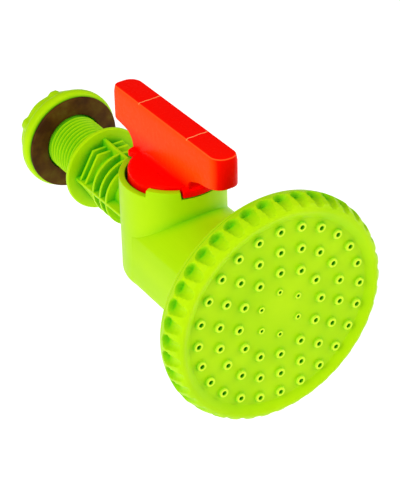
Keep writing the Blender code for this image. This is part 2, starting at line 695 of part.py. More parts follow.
def main():
    clear_scene()
    parts = new_collection(OBJECT_NAME)
    lime = material("lime_plastic", LIME, 0.38)
    red = material("red_plastic", RED, 0.35)
    rubber = material("brown_rubber", RUBBER, 0.8)
    black = material("black_rubber", BLACK, 0.6)
    steel = material("steel", STEEL, 0.3, 1.0)
    tap_body(parts, lime)
    gasket(parts, rubber)
    backnut(parts, lime)
    rose_cap(parts, lime)
    rose_seal(parts, black)
    plug_handle(parts, red)
    o_ring("upper_o_ring", GROOVE_Z[0], parts, black)
    o_ring("lower_o_ring", GROOVE_Z[1], parts, black)
    plug_washer(parts, steel)
    plug_screw(parts, steel)
    inlet_seat_seal(parts, black)


main()
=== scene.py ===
"""Looks of the tank tap with a watering rose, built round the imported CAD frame.

Row frame: the rose faces -Y, the threaded inlet points to +Y and +Z is up along the valve stem.
Lengths are in millimetres in the constants and helpers, and become metres as each mesh is made.
"""

import json
import math

import bmesh
import bpy
from mathutils import Matrix, Vector


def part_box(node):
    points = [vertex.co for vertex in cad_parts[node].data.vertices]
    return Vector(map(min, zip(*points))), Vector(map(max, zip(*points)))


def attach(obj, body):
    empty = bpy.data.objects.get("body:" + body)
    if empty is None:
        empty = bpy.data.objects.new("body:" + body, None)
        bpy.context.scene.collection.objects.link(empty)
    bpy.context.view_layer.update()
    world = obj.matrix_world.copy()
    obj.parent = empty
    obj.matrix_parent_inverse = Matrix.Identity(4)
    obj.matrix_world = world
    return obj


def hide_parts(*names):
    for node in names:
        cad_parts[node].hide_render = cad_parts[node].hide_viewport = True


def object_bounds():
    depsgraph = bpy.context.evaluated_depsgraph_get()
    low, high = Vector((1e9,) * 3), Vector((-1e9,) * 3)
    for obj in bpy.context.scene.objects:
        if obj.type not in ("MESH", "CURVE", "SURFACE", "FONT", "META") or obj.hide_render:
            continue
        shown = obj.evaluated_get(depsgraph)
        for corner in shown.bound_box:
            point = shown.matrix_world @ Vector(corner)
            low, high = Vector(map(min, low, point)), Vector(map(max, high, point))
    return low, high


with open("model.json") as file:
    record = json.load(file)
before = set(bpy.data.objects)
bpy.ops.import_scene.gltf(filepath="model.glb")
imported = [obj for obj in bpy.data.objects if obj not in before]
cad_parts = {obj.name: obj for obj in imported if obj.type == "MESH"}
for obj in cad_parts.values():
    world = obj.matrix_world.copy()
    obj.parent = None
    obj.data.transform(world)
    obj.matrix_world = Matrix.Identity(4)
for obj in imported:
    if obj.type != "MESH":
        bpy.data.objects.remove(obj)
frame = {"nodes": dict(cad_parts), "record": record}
CAD_BOUNDS = [list(corner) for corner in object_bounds()]

MM = 0.001
STEP_DEG = 15                   # one facet of a rounded corner
SHARP_DEG = 35.0                # edges sharper than this are shaded as edges
BEVEL_SEGMENTS = 3

# ---- camera: the photograph's viewing angle ----
VIEW_AZIMUTH = -32.276
VIEW_ELEVATION = 34.007
VIEW_ROLL = -1.406
VIEW_DISTANCE = 675.8
VIEW_AIM = (-26.1, 21.2)        # from the rose's middle, along the view's right and up
LENS = 151.7


def node_box(node):
    """A CAD node's lowest and highest corners, in millimetres."""
    return [[c / MM for c in corner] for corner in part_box(node)]


# ---- driving sizes, from the frame ----
BODY_HIGH = node_box("tap_body")[1]
CAP_LOW, CAP_HIGH = node_box("rose_cap")
PLUG_LOW, PLUG_HIGH = node_box("plug_handle")
NUT_LOW, NUT_HIGH = node_box("backnut")
GASKET_LOW, GASKET_HIGH = node_box("tank_gasket")
VALVE_Y = frame["record"]["behaviour"]["joints"][0]["pos_m"][1] / MM

# rose
ROSE_Z = (CAP_LOW[2] + CAP_HIGH[2]) / 2
ROSE_R = (CAP_HIGH[2] - CAP_LOW[2]) / 2
RIM_FRONT_Y = CAP_LOW[1]
CAP_BACK_Y = CAP_HIGH[1]
PLATE_Y = RIM_FRONT_Y + 2.0
PLATE_R = 33.8
PLATE_T = 2.0
CAP_BORE_R = 37.4
DISH_FRONT_Y = CAP_BACK_Y + 0.3
DISH_RING_Y = -100.8
DISH_RING_R = 40.2
SPIGOT_R = 36.2
SPIGOT_BORE_R = 34.0
SPIGOT_END_Y = -106.0
DISH_BACK_Y = -97.6
DISH_BACK_R = 27.0
FLUTES = 40
FLUTE_FACETS = 16
FLUTE_DEPTH = 2.6
FLUTE_TIP_Y = RIM_FRONT_Y + 0.6
NOZZLE_SIDES = 24
NOZZLE_RINGS = ((6, 8.23), (12, 15.95), (18, 23.68), (24, 31.4))    # count and radius, from the middle
# (radius, height above the plate, corner radius) from a nozzle's foot over its crest and down its jet
NOZZLE = (
    (2.3, 0.0, 0.0), (1.85, 0.0, 0.9), (1.55, 1.2, 0.3), (0.84, 1.2, 0.16), (0.73, 0.3, 0.2),
    (0.66, -PLATE_T, 0.0), (2.3, -PLATE_T, 0.0),
)
SMALL_NOZZLE = (
    (1.65, 0.0, 0.0), (1.32, 0.0, 0.6), (1.12, 0.62, 0.22), (0.56, 0.62, 0.14), (0.5, 0.1, 0.1),
    (0.5, -PLATE_T, 0.0), (1.65, -PLATE_T, 0.0),
)

# inlet and neck
THREAD_MAJOR_R = 10.48
THREAD_ROOT_R = 9.32
THREAD_PITCH = 1.814
THREAD_PHASE_Y = 1.6
PIPE_BORE_R = 6.5
FLANGE_R = 15.7
FLANGE_T = 1.7
FLANGE_BORE_R = THREAD_ROOT_R - 1.5
NECK_CORE_R = 8.6
FIN_T = 1.2
FIN_HALF_WIDTH = 12.6
FIN_HALF_WIDTH_END = 11.9
FIN_END_Y = -34.5
RIB_T = 1.1
HEX_RIB_Y = (-3.9, -7.2)
HEX_RIB_R = 12.4
ROUND_RIB_Y = (-12.9, -17.5, -21.6)
ROUND_RIB_R = 12.2

# barrel and outlet duct
BARREL_R = 18.3
BARREL_BORE_R = 16.1
RIM_LOW_Z = 22.0
RIM_HIGH_Z = 24.7
BARREL_BOTTOM_Z = -17.4
BARREL_FLOOR_Z = -12.4
COUNTERBORE_R = 8.0
COUNTERBORE_TOP_Z = -14.0
STEM_HOLE_R = 3.4
STOP_START_DEG = 208.0
STOP_SWEEP_DEG = 39.0
STOP_LEAN_DEG = 1.0
DUCT_HALF_W = 18.2
DUCT_ROOF_R = 20.6
DUCT_ROOF_CENTRE_Z = -6.0
DUCT_FLOOR_Z = (-18.1, -17.5)
DUCT_FRONT_Y = -98.6
DUCT_CORNER_R = 3.6
DUCT_WALL = 2.2

# gasket and nut
GASKET_BORE_R = 11.0
NUT_COLLAR_T = 5.2
NUT_MOUTH_R = 10.9
NUT_ROOT_R = 10.85
NUT_THREAD_DEPTH = 1.15
NUT_GRIP_FOOT_R = 14.0
NUT_GRIP_R = 15.2               # between the grip's ribs
NUT_RIBS = 6
NUT_RIB_H = 1.1
NUT_TURN_DEG = 33.5             # how far round the first rib stands
NUT_STEPS = 144

# plug and handle
DISC_R = 15.15
DISC_TOP_Z = 25.1
PLUG_R = 15.7
STEM_R = 3.0
LUG_START_DEG = 248.5
LUG_SWEEP_DEG = 46
HANDLE_TOP_Z = PLUG_HIGH[2]
HANDLE_FRONT_Y = PLUG_LOW[1] - VALVE_Y
HANDLE_BACK_Y = PLUG_HIGH[1] - VALVE_Y
HANDLE_HALF_W = 4.85
HANDLE_LEAN_DEG = 0.8           # the bar stands a touch off the pipe's line
FRONT_CORNERS = (4.85, 3.7)     # radii at the left and the right
BACK_CORNERS = (2.6, 4.85)
FLARE_R = 2.8
FRONT_NECK_Y = -16.7            # where the bar's neck meets the disc
BACK_NECK_Y = 17.5
FRONT_FILLET = 4.6
BACK_FILLET = 5.4
FRONT_UNDERSIDE_Z = (30.9, 32.3)    # at the neck and at the tip
BACK_UNDERSIDE_Z = (30.95, 31.4)
TOP_BAND = 2.6                  # height of the sloped band below the bar's top face
TOP_SLOPE = 0.3
TOP_EDGE = 0.7
WITNESS_Y = (12.9, -15.8)       # pale lines across the bar's top

# colours, in linear light
BLACK = (0.0, 0.0, 0.0, 1.0)
WHITE = (1.0, 1.0, 1.0, 1.0)
LIME_DARKER = (0.385, 0.700, 0.001, 1.0)
LIME_LIGHTER = (0.455, 0.755, 0.002, 1.0)
# painted highlight: a paler lime for the nozzles' crests
LIME_CREST_HIGHLIGHT = (0.66, 0.92, 0.03, 1.0)
# painted shade: a deeper green for recesses
LIME_PAINTED_SHADE = (0.050, 0.520, 0.004, 1.0)
LIME_GLOSS = (0.9, 1.0, 0.2, 1.0)
RED_DARKER = (1.0, 0.0, 0.0, 1.0)
RED_LIGHTER = (1.0, 0.003, 0.0, 1.0)
# painted light: a more orange red for the handle's flanks
RED_FLANK_PAINTED_LIGHT = (1.0, 0.060, 0.001, 1.0)
# painted highlight: a paler red for the handle's top edge
RED_EDGE_HIGHLIGHT = (1.0, 0.13, 0.02, 1.0)
RED_WITNESS = (1.0, 0.42, 0.14, 1.0)
RED_GLOSS = (1.0, 0.5, 0.1, 1.0)
RED_SHEEN = (1.0, 0.05, 0.0, 1.0)
BROWN_DARK = (0.045, 0.012, 0.0, 1.0)
BROWN = (0.085, 0.032, 0.0, 1.0)
BROWN_WORN = (0.120, 0.075, 0.004, 1.0)

# stage
LIGHT_TARGET = (0.0, -0.045, 0.0)
LIGHTS = (                      # name, place and size in metres, and power in watts
    ("key", (-1.05, -0.35, 0.75), (0.7, 0.7), 12.0),
    ("front", (0.1, -1.3, 0.35), (0.8, 0.6), 2.4),
    ("top", (0.15, -0.1, 1.4), (1.2, 1.2), 6.5),
    ("side", (1.1, -0.6, 0.55), (0.6, 0.6), 7.0),
)
WORLD_STRENGTH = 0.14
FLOOR_GLOW = 0.42
FLOOR_DROP = 70.0               # the floor lies this far below the tap
FLOOR_REACH = 2500.0
FLOOR_T = 10.0


# ------------------------------------------------------------------ mesh helpers

def linked(name, data):
    """A new object in the scene."""
    made = bpy.data.objects.new(name, data)
    bpy.context.scene.collection.objects.link(made)
    return made


def mesh_object(bm, name):
    """An object with the bmesh's mesh; the bmesh is used up."""
    mesh = bpy.data.meshes.new(name)
    bm.to_mesh(mesh)
    bm.free()
    return linked(name, mesh)


def object_from(bm, name):
    """A closed object from a bmesh drawn in millimetres."""
    bmesh.ops.scale(bm, vec=(MM, MM, MM), verts=bm.verts)
    bmesh.ops.recalc_face_normals(bm, faces=bm.faces)
    return mesh_object(bm, name)


def skin(bm, rings, loop=False):
    """Faces through rings of points; a ring of one point is a pole, and open ends are closed flat."""
    rows = [[bm.verts.new(p) for p in ring] for ring in rings]
    pairs = list(zip(rows, rows[1:]))
    if loop:
        pairs.append((rows[-1], rows[0]))
    for a, b in pairs:
        count = max(len(a), len(b))
        for i in range(count):
            j = (i + 1) % count
            corners = [a[i % len(a)], a[j % len(a)], b[j % len(b)], b[i % len(b)]]
            bm.faces.new(list(dict.fromkeys(corners)))
    if not loop:
        for row in (rows[0], rows[-1]):
            if len(row) > 2:
                bm.faces.new(row)


def solid(name, rings, loop=False):
    bm = bmesh.new()
    skin(bm, rings, loop)
    return object_from(bm, name)


def rounded(corners, closed=False, step_deg=STEP_DEG):
    """A polyline of (u, v, radius) corners with each corner turned into an arc."""
    points = []
    for i, (u, v, radius) in enumerate(corners):
        if radius <= 0 or (not closed and i in (0, len(corners) - 1)):
            points.append((u, v))
            continue
        corner = Vector((u, v))
        back = Vector(corners[i - 1][:2]) - corner
        ahead = Vector(corners[(i + 1) % len(corners)][:2]) - corner
        half = back.angle(ahead) / 2
        reach = min(radius / math.tan(half), 0.49 * back.length, 0.49 * ahead.length)
        radius = reach * math.tan(half)
        back.normalize()
        ahead.normalize()
        centre = corner + (back + ahead).normalized() * (radius / math.sin(half))
        start = corner + back * reach - centre
        end = corner + ahead * reach - centre
        sweep = math.atan2(start.x * end.y - start.y * end.x, start.dot(end))
        steps = max(1, math.ceil(abs(math.degrees(sweep)) / step_deg))
        for k in range(steps + 1):
            spoke = Matrix.Rotation(sweep * k / steps, 2) @ start
            points.append(tuple(centre + spoke))
    return points


def turned_rings(profile, steps, along_y=False, centre=(0.0, 0.0, 0.0)):
    """The rings of a turned solid, from (radius, height) points; heights run along Z, or along Y."""
    rings = []
    for radius, height in profile:
        ring = []
        for i in range(steps if radius > 0.001 else 1):
            angle = 2 * math.pi * i / steps
            u, v = radius * math.sin(angle), radius * math.cos(angle)
            point = (u, height, v) if along_y else (u, v, height)
            ring.append(tuple(p + c for p, c in zip(point, centre)))
        rings.append(ring)
    return rings


def turned(name, corners, steps, along_y=False, centre=(0.0, 0.0, 0.0)):
    """A turned solid from rounded (radius, height, corner radius) points."""
    loop = corners[0][0] > 0.001
    return solid(name, turned_rings(rounded(corners, closed=loop), steps, along_y, centre), loop)


def prism(name, outline, low, high, place, bevel=0.0):
    """A flat outline drawn out from low to high, with its edges rounded by bevel."""
    made = solid(name, [[place(u, v, w) for u, v in outline] for w in (low, high)])
    if bevel:
        add_bevel(made, bevel)
    return made


def add_bevel(thing, width, limit_deg=40):
    bevel = thing.modifiers.new("bevel", "BEVEL")
    bevel.width = width * MM
    bevel.segments = BEVEL_SEGMENTS
    bevel.limit_method = "ANGLE"
    bevel.angle_limit = math.radians(limit_deg)
    bake(thing)
    return thing


def bake(thing):
    """Replaces the object's mesh with its evaluated one and drops its modifiers."""
    bpy.context.view_layer.update()
    graph = bpy.context.evaluated_depsgraph_get()
    mesh = bpy.data.meshes.new_from_object(thing.evaluated_get(graph))
    thing.modifiers.clear()
    thing.data = mesh


def cut(target, *tools):
    """Takes each tool's shape out of the target; the tools are used up."""
    merge_distance = 0.001 * MM
    for tool in tools:
        boolean = target.modifiers.new("cut", "BOOLEAN")
        boolean.operation = "DIFFERENCE"
        boolean.solver = "EXACT"
        boolean.object = tool
        bake(target)
        bpy.data.objects.remove(tool, do_unlink=True)
        bm = bmesh.new()
        bm.from_mesh(target.data)
        bmesh.ops.remove_doubles(bm, verts=bm.verts, dist=merge_distance)
        bmesh.ops.dissolve_degenerate(bm, edges=bm.edges, dist=merge_distance)
        bm.to_mesh(target.data)
        bm.free()
    return target


def gather(name, things):
    """One object from several closed shells."""
    bm = bmesh.new()
    for thing in things:
        bm.from_mesh(thing.data)
        bpy.data.objects.remove(thing, do_unlink=True)
    return mesh_object(bm, name)


def arc(centre, radius, start_deg, end_deg, steps):
    """Points along an arc, both ends included."""
    angles = [math.radians(start_deg + (end_deg - start_deg) * i / steps) for i in range(steps + 1)]
    return [(centre[0] + radius * math.cos(a), centre[1] + radius * math.sin(a)) for a in angles]


def smooth_step(low, high, value):
    t = min(1.0, max(0.0, (value - low) / (high - low)))
    return t * t * (3 - 2 * t)


# places for a prism's outline: each puts (u, v) and the height w into (x, y, z)

def along_y(u, v, w):
    return (u, w, v)


def along_z(u, v, w):
    return (u, v, w)


def along_x(u, v, w):
    return (w, v, u)


def thread_rings(start, end, radius_at, segments):
    """Rings across the right-handed thread; radius_at(offset, y) is its radius offset past a crest."""
    steps = math.ceil((end - start) / THREAD_PITCH * 10)
    rings = []
    for k in range(steps + 1):
        y = start + (end - start) * k / steps
        ring = []
        for i in range(segments):
            angle = 2 * math.pi * i / segments
            offset = (y - THREAD_PHASE_Y - THREAD_PITCH * i / segments) % THREAD_PITCH
            radius = radius_at(offset, y)
            ring.append((radius * math.sin(angle), y, radius * math.cos(angle)))
        rings.append(ring)
    return rings


def finish_piece(thing, name, body, node, finish):
    """Names, shades and paints a piece that stands for a CAD node and rides on its body."""
    thing.name = name
    thing.data.name = name
    thing.data.materials.clear()
    thing.data.materials.append(finish)
    thing.data.shade_smooth()
    thing.data.set_sharp_from_angle(angle=math.radians(SHARP_DEG))
    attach(thing, body)
    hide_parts(node)


# ------------------------------------------------------------------ materials

class Nodes:
    """Builds a material's node tree in object space, with lengths in metres."""

    def __init__(self, name):
        self.material = bpy.data.materials.new(name)
        self.material.use_nodes = True
        self.tree = self.material.node_tree
        self.shader = self.tree.nodes["Principled BSDF"]
        coordinates = self.tree.nodes.new("ShaderNodeTexCoord")
        self.place = coordinates.outputs["Object"]
        self.normal = coordinates.outputs["Normal"]

    def set(self, **sockets):
        for socket, value in sockets.items():
            self.shader.inputs[socket.replace("_", " ")].default_value = value

    def link(self, source, target):
        self.tree.links.new(source, target)

    def drive(self, **sources):
        for socket, source in sources.items():
            self.link(source, self.shader.inputs[socket.replace("_", " ")])

    def noise(self, scale, detail=3.0, stretch=None):
        node = self.tree.nodes.new("ShaderNodeTexNoise")
        node.inputs["Scale"].default_value = scale
        node.inputs["Detail"].default_value = detail
        place = self.place
        if stretch:
            mapping = self.tree.nodes.new("ShaderNodeMapping")
            mapping.inputs["Scale"].default_value = stretch
            self.link(place, mapping.inputs["Vector"])
            place = mapping.outputs["Vector"]
        self.link(place, node.inputs["Vector"])
        return node.outputs["Fac"]

    def ramp(self, source, stops):
        node = self.tree.nodes.new("ShaderNodeValToRGB")
        ramp = node.color_ramp
        while len(ramp.elements) < len(stops):
            ramp.elements.new(0.5)
        for element, (position, colour) in zip(ramp.elements, stops):
            element.position = position
            element.color = colour
        self.link(source, node.inputs["Fac"])
        return node.outputs["Color"]

    def fade(self, source, low, high):
        """0 up to low, 1 from high on, and straight between them."""
        return self.ramp(source, ((low, BLACK), (high, WHITE)))

    def span(self, source, low, high):
        """A value from 0 to 1, spread from low to high."""
        node = self.tree.nodes.new("ShaderNodeMapRange")
        node.inputs["To Min"].default_value = low
        node.inputs["To Max"].default_value = high
        self.link(source, node.inputs["Value"])
        return node.outputs["Result"]

    def feed(self, socket, value):
        """Sets a socket to a number or colour, or links it to an output."""
        if isinstance(value, (tuple, int, float)):
            socket.default_value = value
        else:
            self.link(value, socket)

    def mix(self, factor, a, b):
        node = self.tree.nodes.new("ShaderNodeMix")
        node.data_type = "RGBA"
        for socket, value in (("Factor", factor), ("A", a), ("B", b)):
            self.feed(node.inputs[socket], value)
        return node.outputs["Result"]

    def maths(self, operation, a, b=0.0, c=0.0):
        node = self.tree.nodes.new("ShaderNodeMath")
        node.operation = operation
        for socket, value in zip(node.inputs, (a, b, c)):
            self.feed(socket, value)
        return node.outputs["Value"]

    def component(self, vector, axis):
        node = self.tree.nodes.new("ShaderNodeSeparateXYZ")
        self.link(vector, node.inputs["Vector"])
        return node.outputs[axis]

    def coordinate(self, axis):
        return self.component(self.place, axis)

    def facing(self, axis):
        """How squarely the surface faces along one of the piece's own axes, either way."""
        return self.maths("ABSOLUTE", self.component(self.normal, axis))

    def openness(self, distance):
        """How free the surroundings are within a distance, from 0 in a deep recess to 1 in the open."""
        node = self.tree.nodes.new("ShaderNodeAmbientOcclusion")
        node.samples = 8
        node.inputs["Distance"].default_value = distance
        return node.outputs["AO"]

    def bump(self, source, distance, strength=1.0, normal=None):
        node = self.tree.nodes.new("ShaderNodeBump")
        node.inputs["Distance"].default_value = distance
        node.inputs["Strength"].default_value = strength
        self.link(source, node.inputs["Height"])
        if normal:
            self.link(normal, node.inputs["Normal"])
        return node.outputs["Normal"]


def moulded_plastic(name, colour, roughness, gloss, gloss_tint):
    """Satin moulded plastic whose colour is given by nodes: a fine texture and small scuffs."""
    nodes = Nodes(name)
    nodes.set(IOR=1.49, Specular_IOR_Level=gloss, Specular_Tint=gloss_tint)
    grain = nodes.noise(2600.0, 2.0)
    scuffs = nodes.noise(420.0, 6.0)
    coarse = nodes.bump(scuffs, 0.05 * MM, 0.3)
    nodes.drive(
        Base_Color=colour(nodes), Roughness=nodes.span(scuffs, roughness - 0.07, roughness + 0.09),
        Normal=nodes.bump(grain, 0.02 * MM, 0.4, coarse),
    )
    return nodes


def flow_marks(nodes):
    """Faint marks of the moulding's flow, drawn out along the pipe."""
    return nodes.noise(45.0, 4.0, (1.0, 0.35, 1.0))


def lime_colour(nodes):
    """Lime with faint flow marks, a painted highlight on the nozzles' crests and painted shade, a deeper
    green, in recesses.
    """
    lime = nodes.ramp(flow_marks(nodes), ((0.30, LIME_DARKER), (0.62, LIME_LIGHTER)))
    # painted highlight: the nozzles' crests, nearest the front within the plate, are mixed to a paler
    # lime
    x, y = nodes.coordinate("X"), nodes.coordinate("Y")
    z = nodes.maths("SUBTRACT", nodes.coordinate("Z"), ROSE_Z * MM)
    squares = nodes.maths("ADD", nodes.maths("POWER", x, 2.0), nodes.maths("POWER", z, 2.0))
    on_face = nodes.maths("LESS_THAN", nodes.maths("SQRT", squares), (PLATE_R - 0.2) * MM)
    on_crest = nodes.maths("LESS_THAN", y, (PLATE_Y - 0.52) * MM)
    lime = nodes.mix(nodes.maths("MULTIPLY", on_face, on_crest), lime, LIME_CREST_HIGHLIGHT)
    # painted shade: a deeper green mixed in wherever the ambient-occlusion node finds the surroundings
    # close
    shade_reach = 4.5 * MM
    return nodes.mix(nodes.fade(nodes.openness(shade_reach), 0.28, 0.96), LIME_PAINTED_SHADE, lime)


def red_colour(nodes):
    """Red, with the flanks painted more orange as if lit, a painted highlight along the top edge, and two
    thin witness lines.
    """
    flow = flow_marks(nodes)
    red = nodes.ramp(flow, ((0.30, RED_DARKER), (0.62, RED_LIGHTER)))
    z = nodes.coordinate("Z")
    # painted light: the flanks facing along X, from a little above the disc, turn more orange as if lit
    # from the side
    lit_flank = nodes.fade(nodes.facing("X"), 0.72, 0.97)
    above_disc = nodes.maths("SUBTRACT", z, DISC_TOP_Z * MM)
    high = nodes.fade(nodes.maths("DIVIDE", above_disc, 8.0 * MM), 0.05, 1.0)
    red = nodes.mix(nodes.maths("MULTIPLY", lit_flank, high), red, RED_FLANK_PAINTED_LIGHT)

    # painted highlight: a thin band just below the top face, patchy with the flow marks, turns paler
    edge_highlight = nodes.maths("COMPARE", z, (HANDLE_TOP_Z - 0.26) * MM, 0.15 * MM)
    red = nodes.mix(nodes.maths("MULTIPLY", edge_highlight, nodes.span(flow, 0.35, 1.0)), red, RED_EDGE_HIGHLIGHT)

    wobble = nodes.maths("MULTIPLY", nodes.noise(330.0, 1.0), 1.2 * MM)
    y = nodes.maths("ADD", nodes.coordinate("Y"), wobble)
    half_line = 0.14 * MM
    lines = []
    for line_y in WITNESS_Y:
        lines.append(nodes.maths("COMPARE", y, (VALVE_Y + line_y + 0.45) * MM, half_line))
    on_top = nodes.maths("GREATER_THAN", z, (HANDLE_TOP_Z - 0.5) * MM)
    return nodes.mix(nodes.maths("MULTIPLY", nodes.maths("ADD", *lines), on_top), red, RED_WITNESS)


def lime_plastic():
    return moulded_plastic("lime_plastic", lime_colour, 0.38, 0.10, LIME_GLOSS).material


def red_plastic():
    nodes = moulded_plastic("red_plastic", red_colour, 0.26, 0.04, RED_GLOSS)
    nodes.set(Sheen_Weight=0.22, Sheen_Roughness=0.4, Sheen_Tint=RED_SHEEN)
    return nodes.material


def brown_rubber():
    nodes = Nodes("brown_rubber")
    nodes.set(Specular_IOR_Level=0.12)
    patches = nodes.noise(160.0, 6.0)
    grain = nodes.noise(1500.0, 3.0)
    nodes.drive(
        Base_Color=nodes.ramp(patches, ((0.35, BROWN_DARK), (0.55, BROWN), (0.78, BROWN_WORN))),
        Roughness=nodes.span(patches, 0.55, 0.8), Normal=nodes.bump(grain, 0.06 * MM, 0.6),
    )
    return nodes.material


def two_tone(nodes, noise, dark, light, smooth, rough):
    """Colour and roughness that both vary with one noise; the colours are greys or near greys."""
    nodes.drive(
        Base_Color=nodes.ramp(noise, ((0.3, (*dark, 1.0)), (0.7, (*light, 1.0)))),
        Roughness=nodes.span(noise, smooth, rough),
    )
    return nodes.material


def black_rubber():
    nodes = Nodes("black_rubber")
    return two_tone(nodes, nodes.noise(1800.0), (0.012, 0.012, 0.012), (0.03, 0.03, 0.03), 0.45, 0.7)


def plain_steel():
    nodes = Nodes("steel")
    nodes.set(Metallic=1.0)
    brushed = nodes.noise(900.0, 3.0, (1.0, 1.0, 0.1))
    return two_tone(nodes, brushed, (0.5, 0.5, 0.52), (0.68, 0.68, 0.7), 0.22, 0.42)


def floor_white():
    nodes = Nodes("floor_white")
    nodes.set(Roughness=0.9, Specular_IOR_Level=0.1, Emission_Color=WHITE, Emission_Strength=FLOOR_GLOW)
    darker, lighter = (0.93, 0.93, 0.93, 1.0), (0.95, 0.95, 0.95, 1.0)
    nodes.drive(Base_Color=nodes.ramp(nodes.noise(6.0), ((0.3, darker), (0.7, lighter))))
    return nodes.material


# ------------------------------------------------------------------ rose

def flute_depth(angle, y):
    """Depth of the grip's scoops: pointed at the front, widening to a steep arched wall at the back."""
    phase = (angle * FLUTES / (2 * math.pi)) % 1.0
    along = min(1.0, max(0.0, (y - FLUTE_TIP_Y) / (CAP_BACK_Y - 1.1 - FLUTE_TIP_Y)))
    across = abs(phase - 0.5) / (0.24 + 0.24 * along)
    if across >= 1:
        return 0.0
    wall_y = CAP_BACK_Y - 1.0 - 1.7 * across * across
    back = 1.0 - smooth_step(wall_y - 0.6, wall_y, y)
    share = 0.28 * smooth_step(0.0, 0.10, along) + 0.72 * along ** 1.4
    return FLUTE_DEPTH * share * (1 - across * across) ** 0.65 * back


def rim_profile():
    """(radius, y) down the cap's rim, from its back edge over the crest to the plate."""
    corners = [
        (CAP_BORE_R, CAP_BACK_Y, 0.0), (ROSE_R - 0.5, CAP_BACK_Y, 0.25), (ROSE_R, CAP_BACK_Y - 2.3, 3.0),
        (ROSE_R - 0.6, RIM_FRONT_Y + 3.7, 3.0), (ROSE_R - 1.5, RIM_FRONT_Y + 1.3, 1.5),
        (ROSE_R - 3.5, RIM_FRONT_Y, 1.7), (PLATE_R + 0.5, PLATE_Y, 6.0), (PLATE_R, PLATE_Y, 0.0),
    ]
    return rounded(corners, step_deg=9)


def resampled(points, longest):
    """The same polyline with no span longer than longest."""
    dense = [points[0]]
    for a, b in zip(points, points[1:]):
        steps = max(1, math.ceil(math.dist(a, b) / longest))
        for k in range(1, steps + 1):
            dense.append((a[0] + (b[0] - a[0]) * k / steps, a[1] + (b[1] - a[1]) * k / steps))
    return dense


def rose_rim():
    """The cap's rim, bore and back of the plate, with scoops round its grip."""
    steps = FLUTES * FLUTE_FACETS
    profile = resampled(rim_profile(), 0.25)
    profile += [(PLATE_R, PLATE_Y + PLATE_T), (CAP_BORE_R, PLATE_Y + PLATE_T)]
    rings = []
    for radius, y in profile:
        ring = []
        for i in range(steps):
            angle = 2 * math.pi * i / steps
            outside = radius > CAP_BORE_R + 0.5
            r = radius - (flute_depth(angle, y) if outside else 0.0)
            ring.append((r * math.sin(angle), y, ROSE_Z + r * math.cos(angle)))
        rings.append(ring)
    return solid("rim", rings, loop=True)


def nozzles():
    """Each nozzle's place (x, 0, z) and its profile; the innermost ring's are small."""
    for number, (count, ring_r) in enumerate(NOZZLE_RINGS):
        for i in range(count):
            angle = 2 * math.pi * i / count
            place = (ring_r * math.sin(angle), 0.0, ROSE_Z + ring_r * math.cos(angle))
            yield place, NOZZLE if number else SMALL_NOZZLE


def rose_nozzles():
    bm = bmesh.new()
    for place, corners in nozzles():
        profile = [(r, PLATE_Y - h) for r, h in rounded(corners, closed=True, step_deg=22)]
        skin(bm, turned_rings(profile, NOZZLE_SIDES, True, place), loop=True)
    return object_from(bm, "nozzles")


def rose_plate():
    """The cap's face, with an opening for every nozzle."""
    profile = [
        (0.0, PLATE_Y), (PLATE_R, PLATE_Y), (PLATE_R, PLATE_Y + PLATE_T), (0.0, PLATE_Y + PLATE_T),
    ]
    plate = solid("plate", turned_rings(profile, FLUTES * 3, True, (0.0, 0.0, ROSE_Z)))
    bm = bmesh.new()
    for place, corners in nozzles():
        foot_r = corners[0][0]
        through = [(foot_r, PLATE_Y - 3), (foot_r, PLATE_Y + PLATE_T + 3)]
        skin(bm, turned_rings(through, NOZZLE_SIDES, True, place))
    return cut(plate, object_from(bm, "openings"))


def rose_cap(finish):
    cap = gather("cap", [rose_rim(), rose_plate(), rose_nozzles()])
    finish_piece(cap, "rose_cap_moulding", "rose", "rose_cap", finish)


def rose_back():
    """The shallow dish behind the rose, with its outer ring and spigot."""
    inner_y = DISH_BACK_Y - 2.2
    corners = [
        (0.0, DISH_BACK_Y, 0.0), (DISH_BACK_R, DISH_BACK_Y, 3.0), (DISH_RING_R - 1.1, DISH_RING_Y, 0.8),
        (DISH_RING_R - 0.2, DISH_RING_Y - 0.7, 0.5), (DISH_RING_R, DISH_FRONT_Y, 0.2),
        (SPIGOT_R, DISH_FRONT_Y, 0.1), (SPIGOT_R, SPIGOT_END_Y, 0.3), (SPIGOT_BORE_R, SPIGOT_END_Y, 0.3),
        (SPIGOT_BORE_R, DISH_FRONT_Y, 0.5), (DISH_BACK_R - 1, inner_y, 1.0), (0.0, inner_y, 0.0),
    ]
    return turned("dish", corners, 160, True, (0.0, 0.0, ROSE_Z))


# ------------------------------------------------------------------ body

def flange():
    corners = [
        (FLANGE_BORE_R, 0.0, 0.0), (FLANGE_R, 0.0, 0.5), (FLANGE_R, -FLANGE_T, 0.5),
        (FLANGE_BORE_R, -FLANGE_T, 0.0),
    ]
    return turned("flange", corners, 120, True)


def inlet_thread():
    """The threaded pipe: a rounded G1/2 profile that runs out at the flange and at the mouth."""
    mouth = BODY_HIGH[1]

    def radius_at(offset, y):
        crest = 0.5 + 0.5 * math.cos(2 * math.pi * offset / THREAD_PITCH)
        run_out = smooth_step(0.4, 2.0, y) * (1 - smooth_step(mouth - 1.6, mouth - 0.6, y))
        return THREAD_ROOT_R + (THREAD_MAJOR_R - THREAD_ROOT_R) * crest ** 0.8 * run_out

    segments = 72
    rings = thread_rings(-1.0, mouth - 0.5, radius_at, segments)
    profile = [
        (THREAD_ROOT_R - 0.6, mouth), (PIPE_BORE_R + 0.4, mouth), (PIPE_BORE_R, mouth - 0.5),
        (PIPE_BORE_R, -1.0),
    ]
    return solid("thread", rings + turned_rings(profile, segments, True), loop=True)


